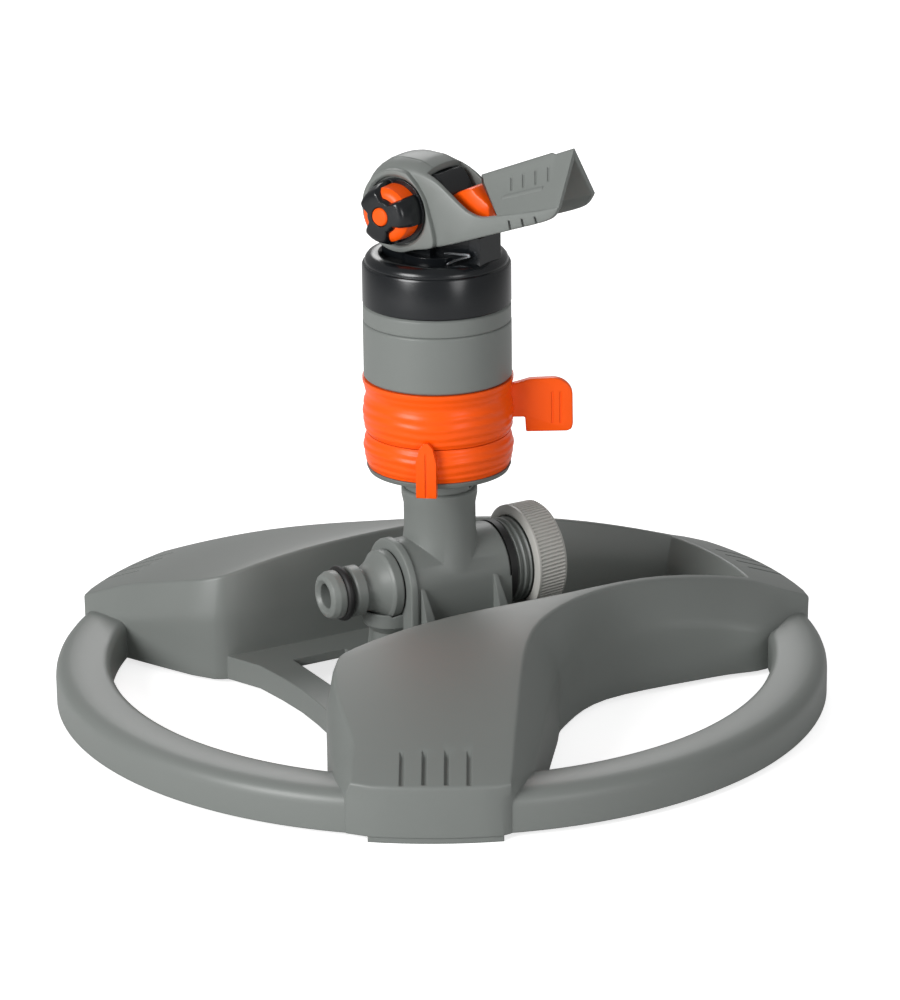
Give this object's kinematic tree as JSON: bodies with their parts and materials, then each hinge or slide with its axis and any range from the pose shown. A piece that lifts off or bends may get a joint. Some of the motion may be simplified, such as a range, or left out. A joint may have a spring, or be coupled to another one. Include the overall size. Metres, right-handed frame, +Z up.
{
  "type": "turbine sprinkler",
  "caption": "Turbine sprinkler: a geared head with a hooded nozzle and two sector rings on a turret, over a tee with a hose nipple, on a ring base with raised arches.",
  "frame": {"origin": "on the turret's axis at the ground, under the middle of the base", "axes": "+Z up along the turret, -X out of the hose inlet, +X to the capped outlet"},
  "size_m": [0.27, 0.268, 0.2024],
  "materials": {
    "grey_plastic": "fine moulded satin",
    "black_plastic": "glossy",
    "orange_plastic": "satin",
    "silver_plastic": "satin, knurled",
    "natural_plastic": "natural acetal",
    "black_rubber": "smooth",
    "steel": "drawn"
  },
  "bodies": {
    "turret": {"base": "grey_plastic", "base_screws": "steel", "tee_body": "grey_plastic", "inlet_nipple": "grey_plastic", "nipple_o_ring": "black_rubber", "nipple_gasket": "black_rubber", "outlet_seal": "black_rubber", "stem_o_ring": "black_rubber", "inlet_strainer": "natural_plastic", "lower_cup": "grey_plastic", "fixed_ring_gear": "natural_plastic", "spigot_seal": "black_rubber", "gear_housing": "grey_plastic", "thrust_washer": "natural_plastic", "bearing_bush": "natural_plastic", "shaft_seal": "black_rubber", "housing_collar": "grey_plastic"},
    "head": {"cassette_body": "black_plastic", "gear_plate": "natural_plastic", "layshaft_pin": "steel", "stator_plate": "natural_plastic", "cassette_cover": "black_plastic", "lever_pin": "steel", "rotor_cap": "black_plastic", "head_bracket": "black_plastic", "nozzle_tube": "black_plastic", "nozzle_o_ring": "black_rubber", "nozzle_insert": "orange_plastic", "hood_spring": "steel", "hood_pivot_pin": "steel"},
    "lower_ring": {"lower_sector_ring": "orange_plastic"},
    "upper_ring": {"upper_sector_ring": "orange_plastic"},
    "cap_seal": {"cap_washer": "black_rubber"},
    "cap": {"outlet_cap": "silver_plastic"},
    "final_gear": {"final_drive_gear": "natural_plastic"},
    "second_gear": {"middle_gear": "natural_plastic"},
    "top_gear": {"first_gear": "natural_plastic"},
    "turbine": {"turbine_wheel": "orange_plastic", "turbine_shaft": "steel"},
    "trip_lever": {"reversing_lever": "orange_plastic"},
    "hood": {"deflector_hood": "grey_plastic"},
    "knob": {"range_knob": "black_plastic", "knob_insert": "orange_plastic", "knob_button": "orange_plastic", "range_spindle": "black_plastic"}
  },
  "joints": [
    {"name": "head_turn", "type": "hinge", "parent": "turret", "child": "head", "pos_m": [0, 0, 0.14], "axis": [0, 0, 1], "continuous": true},
    {"name": "lower_ring_turn", "type": "hinge", "parent": "turret", "child": "lower_ring", "pos_m": [0, 0, 0.09], "axis": [0, 0, 1], "range_deg": [-90, 185]},
    {"name": "upper_ring_turn", "type": "hinge", "parent": "turret", "child": "upper_ring", "pos_m": [0, 0, 0.105], "axis": [0, 0, 1], "range_deg": [-185, 86]},
    {"name": "cap_advance", "type": "slide", "parent": "turret", "child": "cap_seal", "axis": [1, 0, 0], "range_m": [0, 0.0046]},
    {"name": "cap_turn", "type": "hinge", "parent": "cap_seal", "child": "cap", "pos_m": [0.035, 0, 0.0427], "axis": [1, 0, 0], "range_deg": [0, 720]},
    {"name": "final_gear_turn", "type": "hinge", "parent": "head", "child": "final_gear", "pos_m": [0.00758, 0.00636, 0.09], "axis": [0, 0, 1], "continuous": true},
    {"name": "second_gear_turn", "type": "hinge", "parent": "head", "child": "second_gear", "pos_m": [0, 0, 0.095], "axis": [0, 0, 1], "continuous": true},
    {"name": "top_gear_turn", "type": "hinge", "parent": "head", "child": "top_gear", "pos_m": [0.00758, 0.00636, 0.09], "axis": [0, 0, 1], "continuous": true},
    {"name": "turbine_turn", "type": "hinge", "parent": "head", "child": "turbine", "pos_m": [0, 0, 0.11], "axis": [0, 0, 1], "continuous": true},
    {"name": "reversing_lever_swing", "type": "hinge", "parent": "head", "child": "trip_lever", "pos_m": [-0.01697, 0.0098, 0.0977], "axis": [0, 0, 1], "range_deg": [-5.5, 0]},
    {"name": "hood_tilt", "type": "hinge", "parent": "head", "child": "hood", "pos_m": [-0.00304, 0.00653, 0.1742], "axis": [-0.9063, -0.4226, 0], "range_deg": [-3, 6]},
    {"name": "range_knob_turn", "type": "hinge", "parent": "head", "child": "knob", "pos_m": [-0.00304, 0.00653, 0.1742], "axis": [-0.9063, -0.4226, 0], "range_deg": [0, 90]}
  ],
  "couplings": [
    {"joint": "cap_advance", "follows": "cap_turn", "m_per_rad": 0.00036606},
    {"joint": "final_gear_turn", "follows": "head_turn", "ratio": -4},
    {"joint": "second_gear_turn", "follows": "head_turn", "ratio": 8},
    {"joint": "top_gear_turn", "follows": "head_turn", "ratio": -16},
    {"joint": "turbine_turn", "follows": "head_turn", "ratio": 32}
  ]
}
